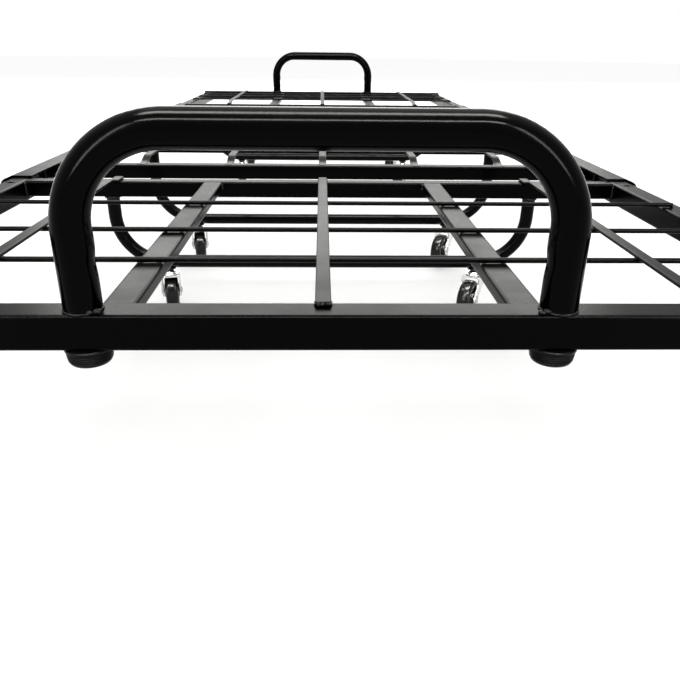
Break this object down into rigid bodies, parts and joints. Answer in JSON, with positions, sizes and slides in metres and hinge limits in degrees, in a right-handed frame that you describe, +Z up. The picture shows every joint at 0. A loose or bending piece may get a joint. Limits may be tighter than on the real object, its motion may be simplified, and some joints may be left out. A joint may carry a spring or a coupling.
{
  "type": "folding bed frame",
  "caption": "Low metal bed frame on casters, with a wire and strip deck, round end hoops and end sections that fold up.",
  "frame": {"origin": "on the floor, under the middle of the bed", "axes": "+Y along the bed towards the head end, +Z up, +X to the right when looking from the foot end"},
  "size_m": [0.7856, 1.9798, 0.2991],
  "materials": {
    "rail_coat": "semi-gloss black powder coat",
    "hoop_coat": "gloss black powder coat on bent round tube",
    "deck_coat": "semi-gloss black powder coat over welds",
    "leg_coat": "semi-gloss black powder coat",
    "cap_plastic": "ribbed black moulded plastic",
    "zinc_plate": "bright zinc plate",
    "wheel_plastic": "black moulded plastic"
  },
  "bodies": {
    "centre_section": {"deck_grid_centre": "deck_coat", "side_angle_left": "rail_coat", "side_angle_right": "rail_coat", "cross_rail_foot": "rail_coat", "cross_rail_head": "rail_coat", "leg_centre_foot": "leg_coat", "leg_centre_head": "leg_coat", "hinge_bolt_foot_left": "zinc_plate", "hinge_bolt_foot_right": "zinc_plate", "hinge_bolt_head_left": "zinc_plate", "hinge_bolt_head_right": "zinc_plate", "caster_stem_centre_foot_left": "zinc_plate", "caster_stem_centre_foot_right": "zinc_plate", "caster_stem_centre_head_left": "zinc_plate", "caster_stem_centre_head_right": "zinc_plate"},
    "foot_section": {"end_rail_foot": "rail_coat", "mid_rail_foot": "rail_coat", "hoop_foot": "hoop_coat", "deck_grid_foot": "deck_coat", "leg_foot": "leg_coat", "side_rail_foot_left": "rail_coat", "inner_rail_foot_left": "rail_coat", "end_cap_foot_left": "cap_plastic", "caster_stem_foot_left": "zinc_plate", "side_rail_foot_right": "rail_coat", "inner_rail_foot_right": "rail_coat", "end_cap_foot_right": "cap_plastic", "caster_stem_foot_right": "zinc_plate"},
    "head_section": {"end_rail_head": "rail_coat", "mid_rail_head": "rail_coat", "hoop_head": "hoop_coat", "deck_grid_head": "deck_coat", "leg_head": "leg_coat", "side_rail_head_left": "rail_coat", "inner_rail_head_left": "rail_coat", "end_cap_head_left": "cap_plastic", "caster_stem_head_left": "zinc_plate", "side_rail_head_right": "rail_coat", "inner_rail_head_right": "rail_coat", "end_cap_head_right": "cap_plastic", "caster_stem_head_right": "zinc_plate"},
    "swivel_foot_left": {"caster_fork_foot_left": "zinc_plate"},
    "wheel_foot_left": {"caster_wheel_foot_left": "wheel_plastic"},
    "swivel_foot_right": {"caster_fork_foot_right": "zinc_plate"},
    "wheel_foot_right": {"caster_wheel_foot_right": "wheel_plastic"},
    "swivel_centre_foot_left": {"caster_fork_centre_foot_left": "zinc_plate"},
    "wheel_centre_foot_left": {"caster_wheel_centre_foot_left": "wheel_plastic"},
    "swivel_centre_foot_right": {"caster_fork_centre_foot_right": "zinc_plate"},
    "wheel_centre_foot_right": {"caster_wheel_centre_foot_right": "wheel_plastic"},
    "swivel_centre_head_left": {"caster_fork_centre_head_left": "zinc_plate"},
    "wheel_centre_head_left": {"caster_wheel_centre_head_left": "wheel_plastic"},
    "swivel_centre_head_right": {"caster_fork_centre_head_right": "zinc_plate"},
    "wheel_centre_head_right": {"caster_wheel_centre_head_right": "wheel_plastic"},
    "swivel_head_left": {"caster_fork_head_left": "zinc_plate"},
    "wheel_head_left": {"caster_wheel_head_left": "wheel_plastic"},
    "swivel_head_right": {"caster_fork_head_right": "zinc_plate"},
    "wheel_head_right": {"caster_wheel_head_right": "wheel_plastic"}
  },
  "joints": [
    {"name": "fold_foot", "type": "hinge", "parent": "centre_section", "child": "foot_section", "pos_m": [0, -0.54, 0.162], "axis": [-1, 0, 0], "range_deg": [0, 90]},
    {"name": "fold_head", "type": "hinge", "parent": "centre_section", "child": "head_section", "pos_m": [0, 0.54, 0.162], "axis": [1, 0, 0], "range_deg": [0, 90]},
    {"name": "swivel_foot_left", "type": "hinge", "parent": "foot_section", "child": "swivel_foot_left", "pos_m": [-0.1995, -0.536, 0.0535], "axis": [0, 0, 1], "continuous": true},
    {"name": "roll_foot_left", "type": "hinge", "parent": "swivel_foot_left", "child": "wheel_foot_left", "pos_m": [-0.20283, -0.52035, 0.02452], "axis": [0.9781, 0.2079, 0], "continuous": true},
    {"name": "swivel_foot_right", "type": "hinge", "parent": "foot_section", "child": "swivel_foot_right", "pos_m": [0.1995, -0.536, 0.0535], "axis": [0, 0, 1], "continuous": true},
    {"name": "roll_foot_right", "type": "hinge", "parent": "swivel_foot_right", "child": "wheel_foot_right", "pos_m": [0.1915, -0.54986, 0.02452], "axis": [-0.866, 0.5, 0], "continuous": true},
    {"name": "swivel_centre_foot_left", "type": "hinge", "parent": "centre_section", "child": "swivel_centre_foot_left", "pos_m": [-0.1995, -0.312, 0.0535], "axis": [0, 0, 1], "continuous": true},
    {"name": "roll_centre_foot_left", "type": "hinge", "parent": "swivel_centre_foot_left", "child": "wheel_centre_foot_left", "pos_m": [-0.20283, -0.29635, 0.02452], "axis": [0.9781, 0.2079, 0], "continuous": true},
    {"name": "swivel_centre_foot_right", "type": "hinge", "parent": "centre_section", "child": "swivel_centre_foot_right", "pos_m": [0.1995, -0.312, 0.0535], "axis": [0, 0, 1], "continuous": true},
    {"name": "roll_centre_foot_right", "type": "hinge", "parent": "swivel_centre_foot_right", "child": "wheel_centre_foot_right", "pos_m": [0.1915, -0.32586, 0.02452], "axis": [-0.866, 0.5, 0], "continuous": true},
    {"name": "swivel_centre_head_left", "type": "hinge", "parent": "centre_section", "child": "swivel_centre_head_left", "pos_m": [-0.1995, 0.312, 0.0535], "axis": [0, 0, 1], "continuous": true},
    {"name": "roll_centre_head_left", "type": "hinge", "parent": "swivel_centre_head_left", "child": "wheel_centre_head_left", "pos_m": [-0.20283, 0.32765, 0.02452], "axis": [0.9781, 0.2079, 0], "continuous": true},
    {"name": "swivel_centre_head_right", "type": "hinge", "parent": "centre_section", "child": "swivel_centre_head_right", "pos_m": [0.1995, 0.312, 0.0535], "axis": [0, 0, 1], "continuous": true},
    {"name": "roll_centre_head_right", "type": "hinge", "parent": "swivel_centre_head_right", "child": "wheel_centre_head_right", "pos_m": [0.1915, 0.29814, 0.02452], "axis": [-0.866, 0.5, 0], "continuous": true},
    {"name": "swivel_head_left", "type": "hinge", "parent": "head_section", "child": "swivel_head_left", "pos_m": [-0.1995, 0.536, 0.0535], "axis": [0, 0, 1], "continuous": true},
    {"name": "roll_head_left", "type": "hinge", "parent": "swivel_head_left", "child": "wheel_head_left", "pos_m": [-0.20283, 0.55165, 0.02452], "axis": [0.9781, 0.2079, 0], "continuous": true},
    {"name": "swivel_head_right", "type": "hinge", "parent": "head_section", "child": "swivel_head_right", "pos_m": [0.1995, 0.536, 0.0535], "axis": [0, 0, 1], "continuous": true},
    {"name": "roll_head_right", "type": "hinge", "parent": "swivel_head_right", "child": "wheel_head_right", "pos_m": [0.1915, 0.52214, 0.02452], "axis": [-0.866, 0.5, 0], "continuous": true}
  ]
}
